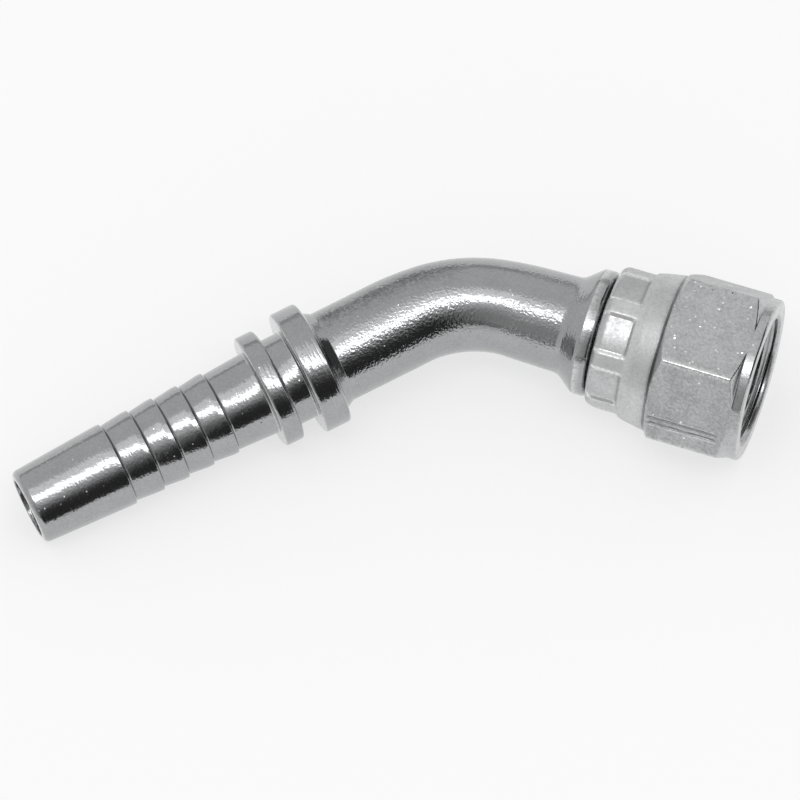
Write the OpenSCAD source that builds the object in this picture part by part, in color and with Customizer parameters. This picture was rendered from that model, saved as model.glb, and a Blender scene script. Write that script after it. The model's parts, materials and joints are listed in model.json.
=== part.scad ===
// Hydraulic hose fitting with a swept elbow: a one-piece stem with a barbed hose tail,
// and a hexagonal swivel nut that is crimped on over the head of the stem.
// The origin is at the centre of the cone nose's end, inside the nut, with +X along the nut's axis.
// The fitting lies as it comes to rest, with one flat of the nut and the end of the tail on the ground.

/* [Elbow] */
// Angle that the tail turns away from the nut's axis
bend_angle = 45; // [30:5:90]
// Radius of the bend, on the tube's centre line
bend_r = 24; // [20:1:40]
// Outside diameter of the tube at the collars and at the flare
tube_d = 16.2; // [15.4:0.1:18]
// How much bending draws in the tube's outside, on its diameter
tube_draw = 0.5; // [0.1:0.1:1]
// Diameter of the bore through the nose and the tube, drilled from the nut's end
nose_bore_d = 11.5; // [8:0.1:12]
// How much bending draws in that bore, on its diameter
bore_draw = 0.1; // [0.1:0.1:1]
// Straight tube between the bend and the flare at the nut's end
nose_straight = 9.2; // [4:0.1:30]
// Straight tube between the bend and the stop collar
tail_straight = 15.3; // [4:0.1:60]

/* [Collars] */
// Diameter of the stop collar, which the ferrule butts against
stop_d = 21.3; // [19:0.1:24]
// Width of the stop collar
stop_w = 4.6; // [2:0.1:8]
// Diameter at the bottom of the groove that the ferrule locks into
lock_groove_d = 15.2; // [14:0.1:17]
// Width of the lock groove
lock_groove_w = 3.5; // [2:0.1:6]
// Diameter of the lock collar, at the root of the tail
lock_d = 19.5; // [18:0.1:22]
// Width of the lock collar
lock_w = 3.4; // [2:0.1:6]
// Radius of the collars' outer edges
collar_edge = 0.6; // [0.2:0.1:0.9]

/* [Hose tail] */
// Length of the tail, from the lock collar to the tip
tail_l = 42.4; // [38:0.2:80]
// Diameter of the bore through the tail, drilled from its tip
tail_bore_d = 10; // [7:0.1:10.4]
// Diameter over the barbs
crest_d = 14.36; // [14.2:0.02:15.2]
// Diameter at the root of each barb
root_d = 13.6; // [12.8:0.1:14]
// Diameter of the tip, behind its rounded end
tip_d = 12.9; // [12.6:0.1:13.4]
// Radius of the rounded tip
tip_round = 1.1; // [0.4:0.1:1.2]
// Length of the tapered lead from the tip to the first crest
lead_l = 16.3; // [8:0.1:18]
// Number of barbs behind the lead
barb_n = 4; // [2:1:4]
// From the first crest to the next one
lead_pitch = 5.1; // [4:0.1:6]
// Distance between the other crests
barb_pitch = 4.53; // [3.5:0.01:5]
// Length of the flat land on each crest
crest_land = 0.9; // [0.3:0.1:1.5]
// Length of the step down behind each crest
step_l = 0.3; // [0.1:0.1:0.8]

/* [Nut end of the stem] */
// Diameter of the shoulder behind the nut
shoulder_d = 21.1; // [20:0.1:22.5]
// Width of the shoulder, from the top of the flare to its face
shoulder_w = 2.7; // [2:0.1:4]
// Radius of the shoulder's edge towards the flare
shoulder_back_edge = 1.2; // [0.4:0.1:1.4]
// Radius of the shoulder's edge towards the nut
shoulder_front_edge = 0.8; // [0.2:0.1:1]
// Angle of the flare that leads from the tube up to the shoulder
flare_angle = 38.5; // [25:0.5:60]
// Radius of the hollow at the foot of the flare
flare_fillet = 2.4; // [1:0.1:4]
// Diameter of the neck under the nut's lip
neck_d = 16; // [14:0.1:17]
// Length of the neck, from the shoulder to the back of the head
neck_l = 4.8; // [4.2:0.1:8]
// Diameter of the head that the nut is held by
head_d = 18.3; // [17.8:0.1:18.5]
// Length of the head's round part
head_l = 8; // [5:0.5:12]
// Angle between the sides of the sealing cone
cone_angle = 60; // [50:1:90]
// Diameter at the end of the cone nose
nose_d = 13.6; // [12.6:0.1:15]

/* [Swivel nut] */
// Width of the hexagon across its flats
hex_af = 27; // [26:1:32]
// Length of the nut over all
nut_l = 26.6; // [25:0.2:34]
// Length of the round skirt behind the hexagon
skirt_l = 10.7; // [9:0.1:14]
// Length of the round nose in front of the hexagon
nut_nose_l = 1.8; // [0.5:0.1:4]
// Diameter of the round nose
nut_nose_d = 27.26; // [26:0.02:27.6]
// Diameter of the turned foot at the back of the hexagon
hex_foot_d = 26.4; // [25.6:0.1:27]
// Angle of the chamfers on the hexagon's corners
hex_chamfer_angle = 30; // [15:1:45]
// Chamfer around the nut's front edge
front_chamfer = 0.3; // [0.1:0.05:0.6]
// Play between the nut's lip and the shoulder
lip_gap = 0.35; // [0.3:0.05:1]
// Play all round between the nut and the neck and head inside it
swivel_clearance = 0.3; // [0.3:0.05:0.4]

/* [Crimped collar] */
// Diameter of the collar on the ridges that the dies leave
ridge_d = 24.5; // [24.2:0.1:25]
// Diameter at the bottom of the marks that the dies press in
crimp_d = 23.7; // [23.2:0.1:24]
// Number of die marks around the collar
crimp_n = 8; // [6:1:12]
// Share of each pitch that a die mark takes
crimp_share = 0.69; // [0.4:0.01:0.9]
// Length of the die marks, from the lip
crimp_l = 5.5; // [4:0.1:7]
// Diameter that the collar swells to behind the die marks
swell_d = 25.2; // [25:0.1:25.6]
// Length of that swelling
swell_l = 1.3; // [0.6:0.1:2]
// Radius of the rounded lip
lip_round = 1.6; // [0.6:0.1:1.8]

/* [Thread] */
// Major diameter of the nut's thread, G 1/2
thread_d = 20.955; // [19:0.005:21.5]
// Length of the thread
thread_l = 8.8; // [6:0.2:9]
// Diameter of the countersink at the nut's mouth
mouth_d = 21.5; // [21:0.1:23]
// Diameter of the relief behind the thread
relief_d = 21.4; // [21.1:0.1:22]
// Length of the relief
relief_l = 4.9; // [2:0.1:5]

/* [Hidden] */
$fn = 96;

// How far cutting shapes run past what they cut
past = 1;
// The straight tubes start this far inside the bend, this deep under its surface,
// and come through it to stand this much proud where the bend ends
lap_l = 2;
lap_dip = 0.1;
lap_rise = 0.02;

tube_r = tube_d / 2;
bend_tube_r = (tube_d - tube_draw) / 2;
nose_bore_r = nose_bore_d / 2;
bend_bore_r = (nose_bore_d - bore_draw) / 2;
tail_bore_r = tail_bore_d / 2;
shoulder_r = shoulder_d / 2;
neck_r = neck_d / 2;
head_r = head_d / 2;
nose_r = nose_d / 2;
crest_r = crest_d / 2;
root_r = root_d / 2;
tip_r = tip_d / 2;
hex_r = hex_af / 2 / cos(30);

// Distances along the nut's axis, from the end of the cone nose
cone_l = (head_r - nose_r) / tan(cone_angle / 2);
head_back_x = -cone_l - head_l;
neck_x = head_back_x - (head_r - neck_r);
shoulder_x = neck_x - neck_l;
flare_top_x = shoulder_x - shoulder_w;
flare_top_r = shoulder_r - shoulder_back_edge * (1 - cos(flare_angle));
rim_x = flare_top_x + shoulder_back_edge * sin(flare_angle);
flare_x = flare_top_x - (flare_top_r - tube_r) / tan(flare_angle);
bend_end_x = flare_x - nose_straight;

// The two axes meet at the corner, and the bend touches them this far from it
tangent_l = bend_r * tan(bend_angle / 2);
corner_x = bend_end_x - tangent_l;

// Distances along the tail's axis, from the corner of the elbow
stop_z = tangent_l + tail_straight;
groove_z = stop_z + stop_w;
lock_z = groove_z + lock_groove_w;
tail_z = lock_z + lock_w;
tip_z = tail_z + tail_l;

// Distances along the nut's axis for the nut, which keeps its play to the shoulder and the head
nut_back_x = shoulder_x + lip_gap;
crimp_end_x = nut_back_x + crimp_l;
swell_x = crimp_end_x + (ridge_d - crimp_d) / 2;
hex_back_x = nut_back_x + skirt_l;
nut_front_x = nut_back_x + nut_l;
hex_front_x = nut_front_x - nut_nose_l;
lip_bore_r = neck_r + swivel_clearance;
head_bore_r = head_r + swivel_clearance;
// The nut's inner cone keeps the clearance square to the back of the head, which slopes at 45 degrees
seat_x = head_back_x + swivel_clearance * (1 - sqrt(2));
thread_r = thread_d / 2;
thread_front_x = nut_front_x - (mouth_d - thread_d) / 2;
thread_back_x = thread_front_x - thread_l;
relief_back_x = thread_back_x - relief_l;

// Angle that the tail's axis slopes down when a rounded edge of it, at this distance from
// the corner, touches the ground that the nut's flat lies on
function slope_to_ground(z, r, edge) =
    atan2(z - edge, r - edge) - acos((hex_af / 2 - edge) / norm([z - edge, r - edge]));

// The first edge to touch sets the slope, and the bend's plane leans over about the nut's axis to give it
tail_slope = min(
    slope_to_ground(tip_z, tip_r, tip_round),
    slope_to_ground(tip_z - lead_l, crest_r, 0),
    slope_to_ground(tail_z, lock_d / 2, collar_edge),
    slope_to_ground(groove_z, stop_d / 2, collar_edge)
);
lean = asin(sin(tail_slope) / sin(bend_angle));

// Distance of each crest from the tip, counted from the tip
function crest(i) = i == 0 ? lead_l : lead_l + lead_pitch + (i - 1) * barb_pitch;

// Points along an arc of a half section, from one angle to another
function arc(centre, r, from, to, steps = 6) = [
    for (i = [0 : steps]) let (a = from + (to - from) * i / steps) centre + r * [cos(a), sin(a)]
];

// Points around the outside of a collar with rounded edges, from its back to its front
function collar(r, from, to, edge) = concat(
    arc([r - edge, from + edge], edge, -90, 0),
    arc([r - edge, to - edge], edge, 0, 90)
);

// Turns a half section, drawn as radius and distance, about the nut's axis
module turn_on_nut_axis() {
    rotate([0, 90, 0]) rotate_extrude() children();
}

// Turns a half section about the tail's axis, from the corner of the elbow
module turn_on_tail_axis() {
    translate([corner_x, 0, 0]) rotate([0, 0, 180 + bend_angle]) turn_on_nut_axis() children();
}

// Start of a straight tube's outside, which comes up through the end of the bend
function tube_start(bend_end) = [
    [0, bend_end - lap_l],
    [bend_tube_r - lap_dip, bend_end - lap_l],
    [bend_tube_r + lap_rise, bend_end]
];

// Start of a straight bore, which narrows into the bore of the bend
function bore_start(bend_end) = [
    [0, bend_end - lap_l],
    [bend_bore_r - lap_dip, bend_end - lap_l],
    [nose_bore_r, bend_end]
];

// Half section of the straight bore through the nose
module nose_bore() {
    polygon(concat(bore_start(bend_end_x), [[nose_bore_r, past], [0, past]]));
}

// Half section of the straight bore through the tail's end, where the tail's narrower bore
// meets the wider one in a cone under the stop collar
module tail_bore() {
    polygon(concat(bore_start(tangent_l), [
        [nose_bore_r, groove_z - abs(nose_bore_r - tail_bore_r)],
        [tail_bore_r, groove_z],
        [tail_bore_r, tip_z + past],
        [0, tip_z + past]
    ]));
}

// The bend, as a round bar of this radius
module bend(r) {
    translate([bend_end_x, -bend_r, 0]) rotate([0, 0, 90])
        rotate_extrude(angle = bend_angle) translate([bend_r, 0]) circle(r);
}

// Half section of the nut's end of the stem: the tube, a straight flare that rises from a hollow
// fillet, the shoulder, the neck, and the head with its 45 degree back and its sealing cone
module nose_outline() {
    fillet_x = flare_x - flare_fillet * tan(flare_angle / 2);
    rim_front_x = shoulder_x - shoulder_front_edge;
    polygon(concat(
        tube_start(bend_end_x),
        arc([tube_r + flare_fillet, fillet_x], flare_fillet, 180, 180 - flare_angle),
        arc([shoulder_r - shoulder_back_edge, rim_x], shoulder_back_edge, -flare_angle, 0),
        arc([shoulder_r - shoulder_front_edge, rim_front_x], shoulder_front_edge, 0, 90),
        [
            [neck_r, shoulder_x], [neck_r, neck_x], [head_r, head_back_x],
            [head_r, -cone_l], [nose_r, 0], [0, 0]
        ]
    ));
}

// Half section of the tail's end of the stem: the tube, the two collars with the lock groove
// between them, barbs that step down towards the collars, and a tapered lead to the rounded tip
module tail_outline() {
    polygon(concat(
        tube_start(tangent_l),
        [[tube_r, stop_z]],
        collar(stop_d / 2, stop_z, groove_z, collar_edge),
        [[lock_groove_d / 2, groove_z], [lock_groove_d / 2, lock_z]],
        collar(lock_d / 2, lock_z, tail_z, collar_edge),
        [[crest_r, tail_z]],
        [for (i = [barb_n : -1 : 0]) each [
            [root_r, tip_z - crest(i) - step_l],
            [crest_r, tip_z - crest(i)],
            [crest_r, tip_z - crest(i) + crest_land]
        ]],
        arc([tip_r - tip_round, tip_z - tip_round], tip_round, 0, 90),
        [[0, tip_z]]
    ));
}

module hose_stem() {
    color([0.74, 0.75, 0.77])
    rotate([lean, 0, 0])
    difference() {
        union() {
            turn_on_nut_axis() nose_outline();
            bend(bend_tube_r);
            turn_on_tail_axis() tail_outline();
        }
        turn_on_nut_axis() nose_bore();
        bend(bend_bore_r);
        turn_on_tail_axis() tail_bore();
    }
}

// Half section of the nut's outside: the rounded lip, the crimped collar, the cone that leads up to
// the hexagon, chamfers that trim the hexagon's corners, and the round nose
module nut_outline() {
    back_chamfer = (hex_r - hex_foot_d / 2) * tan(hex_chamfer_angle);
    nose_chamfer = (hex_r - nut_nose_d / 2) * tan(hex_chamfer_angle);
    lip_front_x = nut_back_x + lip_round;
    polygon(concat(
        [[0, nut_back_x]],
        arc([crimp_d / 2 - lip_round, lip_front_x], lip_round, -90, 0),
        [
            [ridge_d / 2, lip_front_x + (ridge_d - crimp_d) / 2],
            [ridge_d / 2, swell_x],
            [swell_d / 2, swell_x + swell_l],
            [hex_foot_d / 2, hex_back_x],
            [hex_r + past, hex_back_x + back_chamfer + past * tan(hex_chamfer_angle)],
            [hex_r + past, hex_front_x - nose_chamfer - past * tan(hex_chamfer_angle)],
            [nut_nose_d / 2, hex_front_x],
            [nut_nose_d / 2, nut_front_x - front_chamfer],
            [nut_nose_d / 2 - front_chamfer, nut_front_x],
            [0, nut_front_x]
        ]
    ));
}

// Half section of the hollow inside the nut, from the lip to the mouth
module nut_hollow() {
    polygon([
        [0, nut_back_x - past],
        [lip_bore_r, nut_back_x - past],
        [lip_bore_r, seat_x - (head_bore_r - lip_bore_r)],
        [head_bore_r, seat_x],
        [head_bore_r, relief_back_x],
        [relief_d / 2, relief_back_x],
        [relief_d / 2, thread_back_x],
        [thread_r, thread_back_x],
        [thread_r, thread_front_x],
        [mouth_d / 2, nut_front_x],
        [mouth_d / 2, nut_front_x + past],
        [0, nut_front_x + past]
    ]);
}

// One mark of the crimping dies: a slice of a ring, which ends in a sloping wall
module die_mark() {
    span = 360 / crimp_n * crimp_share;
    depth = ridge_d / 2 + past - crimp_d / 2;
    rotate([0, 90, 0]) rotate([0, 0, -span / 2]) rotate_extrude(angle = span)
        polygon([
            [crimp_d / 2, nut_back_x - past],
            [crimp_d / 2 + depth, nut_back_x - past],
            [crimp_d / 2 + depth, crimp_end_x + depth],
            [crimp_d / 2, crimp_end_x]
        ]);
}

module swivel_nut() {
    color([0.78, 0.79, 0.81])
    difference() {
        intersection() {
            turn_on_nut_axis() nut_outline();
            translate([nut_back_x - past, 0, 0]) rotate([0, 90, 0]) rotate([0, 0, 30])
                cylinder(r = hex_r, h = nut_l + 2 * past, $fn = 6);
        }
        turn_on_nut_axis() nut_hollow();
        for (i = [0 : crimp_n - 1]) rotate([(i + 0.5) * 360 / crimp_n, 0, 0]) die_mark();
    }
}

hose_stem();
swivel_nut();
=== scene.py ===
import json
import math
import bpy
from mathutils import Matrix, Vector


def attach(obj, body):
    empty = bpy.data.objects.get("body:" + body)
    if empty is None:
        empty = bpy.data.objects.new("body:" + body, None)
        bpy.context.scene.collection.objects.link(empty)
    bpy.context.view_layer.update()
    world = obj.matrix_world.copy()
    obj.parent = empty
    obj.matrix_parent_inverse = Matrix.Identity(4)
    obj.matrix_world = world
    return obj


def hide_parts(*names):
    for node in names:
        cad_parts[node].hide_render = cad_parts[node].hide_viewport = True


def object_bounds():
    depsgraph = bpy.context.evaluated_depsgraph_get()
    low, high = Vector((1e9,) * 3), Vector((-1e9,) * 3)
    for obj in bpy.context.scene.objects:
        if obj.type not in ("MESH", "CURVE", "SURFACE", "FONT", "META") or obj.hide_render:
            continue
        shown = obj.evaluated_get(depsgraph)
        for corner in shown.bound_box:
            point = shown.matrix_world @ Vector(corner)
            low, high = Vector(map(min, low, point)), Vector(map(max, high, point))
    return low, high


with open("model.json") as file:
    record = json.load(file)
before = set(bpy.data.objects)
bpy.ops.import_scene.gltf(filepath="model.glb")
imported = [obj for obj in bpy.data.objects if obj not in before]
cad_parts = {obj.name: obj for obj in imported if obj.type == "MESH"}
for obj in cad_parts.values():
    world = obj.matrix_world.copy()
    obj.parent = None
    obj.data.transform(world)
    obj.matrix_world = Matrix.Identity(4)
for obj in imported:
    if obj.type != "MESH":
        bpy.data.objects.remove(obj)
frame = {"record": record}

from types import SimpleNamespace

import bpy
import numpy as np
from mathutils import Matrix, Vector

cad_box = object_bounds()

# The stem and the nut are each one mesh of rings about its centre line, in zinc plate.
# Sizes are in millimetres, and places along the nut's axis count from the end of the cone nose.
MM = 0.001
MOUNTS = {mount["name"]: mount for mount in frame["record"]["mounts"]}

# The elbow, in a plane that leans over about the nut's axis until the tail's tip is on the ground
TAIL_WAY = MOUNTS["tail_bore"]["axis"]
LEAN = math.atan2(-TAIL_WAY[2], -TAIL_WAY[1])
BEND_ANGLE = math.radians(45)
BEND_R = 24.0
NOSE_STRAIGHT = 9.2
TAIL_STRAIGHT = 15.3
TUBE_R = 8.1
NOSE_BORE_R = 5.75

# Bending draws the tube in, most of all in the bend's plane, and flattens it along the outside
BEND_TUBE_R = 7.85
BEND_IN_PLANE_R = 7.76
BEND_OUTSIDE_FLAT = 0.17
BEND_BORE_R = 5.7
BEND_EASE_BEFORE = 2.0
BEND_EASE_L = 5.0
BEND_END_ROUND = 8.0

# The collars, with the lock groove between them
STOP_R = 10.65
STOP_W = 4.6
LOCK_GROOVE_R = 7.6
LOCK_GROOVE_W = 3.5
LOCK_R = 9.75
LOCK_W = 3.4
COLLAR_EDGE = 0.6
COLLAR_FILLET = 0.25

# The slope at the stop collar's foot, towards the bend, and the short steep rise at its top
STOP_FOOT_L = 1.75
STOP_FOOT_H = 0.8
STOP_FOOT_ROUND = 0.5
STOP_FOOT_TOP_L = 0.3
STOP_FOOT_TOP_H = 0.8
STOP_FOOT_TOP_ROUND = 0.1

# The hose tail
TAIL_L = 42.4
TAIL_BORE_R = MOUNTS["tail_bore"]["dims"]["r_mm"]
BORE_CONE_L = 0.75
CREST_R = 7.18
CREST_LAND = 0.9
CREST_EDGE = 0.12
LAND_ROUND = 0.6
ROOT_R = 6.8
ROOT_GROOVE_L = 0.2
ROOT_GROOVE_D = 0.1
ROOT_GROOVE_EDGE = 0.1
ROOT_GROOVE_ROUND = 0.05
STEP_L = 0.3
LEAD_L = 16.3
LEAD_PITCH = 5.1
BARB_PITCH = 4.53
BARB_N = 4
TIP_R = 6.45
TIP_ROUND = 1.1
TIP_ARC_STEPS = 10
TIP_BORE_EDGE = 0.15
# The tip ends this much short of the solid's, so that its rim stays inside the solid's box
TIP_SHORT = 0.006

# The stem's end that the nut turns on
CONE_ANGLE = math.radians(60)
NOSE_R = 6.8
NOSE_EDGE = 0.25
NOSE_BORE_FACE = 0.3
NOSE_BORE_EDGE = 0.2
HEAD_R = 9.15
HEAD_L = 8.0
HEAD_FRONT_EDGE = 0.3
HEAD_BACK_EDGE = 0.2
NECK_R = 8.0
NECK_L = 4.8
NECK_FRONT_FILLET = 0.3
NECK_BACK_FILLET = 0.2
SHOULDER_R = 10.55
SHOULDER_W = 2.7
SHOULDER_BACK_EDGE = 1.2
SHOULDER_FRONT_EDGE = 0.8
FLARE_ANGLE = math.radians(38.5)
FLARE_FILLET = 2.4

# Places along the nut's axis on the stem
CONE_L = (HEAD_R - NOSE_R) / math.tan(CONE_ANGLE / 2)
HEAD_BACK_X = -CONE_L - HEAD_L
NECK_X = HEAD_BACK_X - (HEAD_R - NECK_R)
SHOULDER_X = NECK_X - NECK_L
FLARE_TOP_X = SHOULDER_X - SHOULDER_W
FLARE_TOP_R = SHOULDER_R - SHOULDER_BACK_EDGE * (1 - math.cos(FLARE_ANGLE))
FLARE_X = FLARE_TOP_X - (FLARE_TOP_R - TUBE_R) / math.tan(FLARE_ANGLE)
RIM_X = FLARE_TOP_X + SHOULDER_BACK_EDGE * math.sin(FLARE_ANGLE)
BEND_END_X = FLARE_X - NOSE_STRAIGHT

# Stations along the stem's centre line, from the end of the cone nose to the tip
BEND_L = BEND_R * BEND_ANGLE
BEND_FROM_S = -BEND_END_X
BEND_TO_S = BEND_FROM_S + BEND_L
STOP_S = BEND_TO_S + TAIL_STRAIGHT
GROOVE_S = STOP_S + STOP_W
LOCK_S = GROOVE_S + LOCK_GROOVE_W
TAIL_S = LOCK_S + LOCK_W
TIP_S = TAIL_S + TAIL_L - TIP_SHORT

# The nut
SKIRT_L = 10.7
NUT_NOSE_L = 1.8
NUT_NOSE_R = 13.63
FRONT_CHAMFER = 0.3
LIP_GAP = 0.35
SWIVEL_CLEARANCE = 0.3

# Roundings of the nut's edges and inner corners
RIDGE_ROUND = 0.5
SWELL_ROUND = 1.2
FOOT_EDGE = 0.1
FOOT_GROOVE_ROUND = 0.08
NUT_NOSE_FILLET = 0.3
NUT_NOSE_EDGE = 0.1
FRONT_FACE_EDGE = 0.15
MOUTH_EDGE = 0.1
HOLLOW_ROUND = 0.3
RELIEF_EDGE = 0.1

# The hexagon, whose outline runs past its corners before the hexagon trims it
HALF_SIDE = math.radians(30)
SIDE = 2 * HALF_SIDE
HEX_FLAT_R = 13.5
HEX_CORNER_ROUND = 0.45
HEX_EDGE_BLEND = 0.16
HEX_CHAMFER = math.radians(30)
HEX_FOOT_R = 13.2
HEX_PAST_R = HEX_FLAT_R / math.cos(HALF_SIDE) + 0.6
FOOT_GROOVE_L = 0.28
FOOT_GROOVE_D = 0.24
FOOT_GROOVE_LIP = 0.04

# The crimped collar and the marks of the dies
LIP_ROUND = 1.6
CRIMP_R = 11.85
RIDGE_R = 12.25
CRIMP_DEPTH = RIDGE_R - CRIMP_R
SWELL_R = 12.6
SWELL_L = 1.3
CRIMP_L = 5.5
CRIMP_N = 8
CRIMP_HALF = math.radians(15.5)
CRIMP_WALL = math.radians(4)
# How far a mark is flat across: 0 is as round as the collar, 1 is flat
CRIMP_FLATNESS = 0.35
# The dies' pressing fades over this much of the rounded lip
LIP_FADE = 1.8

# The broken double line that is scored along one flat, with burrs beside its grooves
SCORE_ANGLE = math.radians(166.7)
SCORE_GAP = 0.95
SCORE_FROM_X = -6.2
SCORE_TO_X = 6.0
SCORE_FADE = 0.6
SCORE_DEPTH = 0.17
SCORE_W = 0.15
BURR_OFF = 0.3
BURR_W = 0.12
BURR_SHARE = 0.5

# The thread, 14 turns to the inch, and the relief behind it
THREAD_R = MOUNTS["swivel_thread"]["dims"]["r_mm"]
THREAD_L = MOUNTS["swivel_thread"]["dims"]["length_mm"]
THREAD_MINOR_R = 9.3155
THREAD_PITCH = 25.4 / 14
THREAD_START_L = 1.6
THREAD_RUNOUT_L = 1.2
MOUTH_R = 10.75
RELIEF_R = 10.7
RELIEF_L = 4.9

# Places along the nut's axis on the nut
NUT_BACK_X = SHOULDER_X + LIP_GAP
CRIMP_END_X = NUT_BACK_X + CRIMP_L
SWELL_X = CRIMP_END_X + CRIMP_DEPTH
HEX_BACK_X = NUT_BACK_X + SKIRT_L
NUT_FRONT_X = cad_box[1][0] / MM
HEX_FRONT_X = NUT_FRONT_X - NUT_NOSE_L
LIP_BORE_R = NECK_R + SWIVEL_CLEARANCE
HEAD_BORE_R = HEAD_R + SWIVEL_CLEARANCE
SEAT_X = HEAD_BACK_X + SWIVEL_CLEARANCE * (1 - math.sqrt(2))
THREAD_FRONT_X = NUT_FRONT_X - (MOUTH_R - THREAD_R)
THREAD_BACK_X = THREAD_FRONT_X - THREAD_L
RELIEF_BACK_X = THREAD_BACK_X - RELIEF_L

# Sides where the plate's painted shade, painted highlight and painted glints lie, as a middle and a
# half width in degrees. On the stem 0 is the outside of the bend, on the nut it is +Y, and 90 is the
# upper side of both
DUSKY_SHADE_SIDE = (58, 15)
DARK_ROOT_SIDE = (75, 38)
DARK_WALL_SIDE = (98, 50)
DARK_FOOT_SIDE = (116, 30)
HIGHLIGHT_CORNER_SIDE = (120, 30)
GLINT_UPPER_SIDE = (90, 26)
GLINT_LOWER_SIDE = (250, 70)

# The stem's finish and painted shade: shares from 0 to 1, and lengths along it
COARSE_PLAIN = 0.5
COARSE_BENT = 0.9
BENT_EASE_L = 3
RUBBED_SHARE = 0.6
TURNED_LEAST = 0.3
TURNED_LEAD = 0.7
EDGE_WEAR_REACH = 0.15
BORE_RIM_DARK = 0.15
BORE_DARK_L = 6
ROOT_DARK_REACH = 0.12
WALL_DARK = 0.8
WALL_DARK_REACH = 0.1

# The nut's finish, painted shade, painted highlight and painted glints: shares from 0 to 1, and lengths
# along it or around it
COARSE_NUT = 0.35
CORNER_WEAR_END = 0.504
CORNER_WEAR_FADE = 0.36
CORNER_WEAR_LEAST = 0.25
MARK_EDGE_HALF = math.radians(1.6)
MOUTH_DARK = 0.25
MOUTH_DARK_L = 10
SCORE_DARK = 0.8
MARK_FRONT_DARK = 0.55
MARK_FRONT_REACH = 0.22
FOOT_DARK_LEAST = 0.25
FOOT_DARK_REACH = 0.3
PRESSED_TURNED = 0.6
BACK_CHAMFER_TURNED = 0.45
THREAD_TURNED = 0.9
SWELL_BRIGHTER = 0.35
PRESSED_BRIGHTER = 0.7
GLINTS_LEAST = 0.12
GLINTS_LOWER = 0.7
SKIRT_EASE_L = 1.2

# How fine the meshes are. The relief's wall starts a step off the thread's end, and the last ring
# of the lip's bore lies this far from the nut's back
STEP_OFF = 0.001
LIP_END_L = 0.3
ARC_STEP = 0.12
ARC_TURN = math.radians(18)
NEARLY_STRAIGHT = math.radians(88)
SAME_POINT = 1e-4
STEM_STEP = 1.2
STEM_AROUND = 144
NUT_BACK_STEP = 0.46
NUT_FRONT_STEP = 0.3
FLAT_STEPS = 13
THREAD_STEPS = 61
NUT_AROUND_DEG = 1.5
SHARP_ANGLE = math.radians(42)


# Small helpers

def smooth(t):
    """An even rise from 0 to 1 as t goes from 0 to 1, level at both ends."""
    t = np.clip(t, 0, 1)
    return t * t * (3 - 2 * t)


def rise(value, start, length):
    """0 up to start, and 1 from one length past it."""
    return smooth((value - start) / length)


def fall(value, end, length):
    """1 until one length before end, and 0 from the end."""
    return smooth((end - value) / length)


def bell(off, width, power=2):
    """1 where off is 0, and near 0 from twice the width; a higher power has a flatter top."""
    return np.exp(-(off / width) ** power)


def towards(angle, side, power=4):
    """1 at the middle of a side and near 0 from twice its half width, both in degrees."""
    middle, half = side
    return bell(angle - math.radians(middle), math.radians(half), power)


def near(value, places, reach):
    """1 within half a reach of the nearest of the places, and 0 from one and a half."""
    gap = np.min(np.abs(value - np.array(places)), axis=1, keepdims=True)
    return fall(gap, 1.5 * reach, reach)


def soft_min(a, b, reach):
    """The smaller of two values, blended where they are within reach of each other."""
    h = np.maximum(reach - np.abs(a - b), 0) / reach
    return np.minimum(a, b) - h * h * reach / 4


def add_object(name, data):
    made = bpy.data.objects.new(name, data)
    bpy.context.scene.collection.objects.link(made)
    return made


def rectangle(name, width, height, z=0.0):
    mesh = bpy.data.meshes.new(name)
    w = width / 2
    h = height / 2
    mesh.from_pydata([(-w, -h, z), (w, -h, z), (w, h, z), (-w, h, z)], [], [(0, 1, 2, 3)])
    return mesh


# Outlines and meshes

def corner_arc(last, here, following, rounding):
    """Points that round off the corner at here, between the points before and after it."""
    to_last = last - here
    to_next = following - here
    a = to_last / np.linalg.norm(to_last)
    b = to_next / np.linalg.norm(to_next)
    half = math.acos(max(-1.0, min(1.0, float(a @ b)))) / 2
    if half > NEARLY_STRAIGHT:
        return [here]
    reach = rounding / math.tan(half)
    most = 0.49 * min(np.linalg.norm(to_last), np.linalg.norm(to_next))
    if reach > most:
        rounding *= most / reach
        reach = most
    centre = here + (a + b) / np.linalg.norm(a + b) * rounding / math.sin(half)
    start = here + a * reach - centre
    turn = math.pi - 2 * half
    sign = 1 if a[0] * b[1] - a[1] * b[0] < 0 else -1
    steps = max(2, math.ceil(turn * rounding / ARC_STEP), math.ceil(turn / ARC_TURN))
    arc = []
    for t in sign * turn * np.arange(steps + 1) / steps:
        c = math.cos(t)
        s = math.sin(t)
        arc.append(centre + np.array((c * start[0] - s * start[1], s * start[0] + c * start[1])))
    return arc


def rounded(corners):
    """A polyline of (station, radius, rounding) as points, with its corners rounded off."""
    places = [np.array(corner[:2]) for corner in corners]
    out = [places[0]]
    for i in range(1, len(corners) - 1):
        rounding = corners[i][2]
        if rounding > 0:
            out += corner_arc(places[i - 1], places[i], places[i + 1], rounding)
        else:
            out.append(places[i])
    return np.array(out + [places[-1]])


def even_points(start, end, steps):
    """Points in even steps from start to end, without the start itself."""
    start = np.array(start)
    share = np.arange(1, steps + 1)[:, None] / steps
    return start + (np.array(end) - start) * share


def densify(points, most):
    """The polyline again, with no step longer than most."""
    out = [points[:1]]
    for last, here in zip(points[:-1], points[1:]):
        steps = max(1, math.ceil(np.linalg.norm(here - last) / most))
        out.append(even_points(last, here, steps))
    return np.concatenate(out)


def distinct(points):
    """The points of a closed outline, without the ones that lie on the last one kept."""
    keep = [0]
    for i in range(1, len(points)):
        if np.linalg.norm(points[i] - points[keep[-1]]) > SAME_POINT:
            keep.append(i)
    return points[keep[:-1]]


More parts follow.
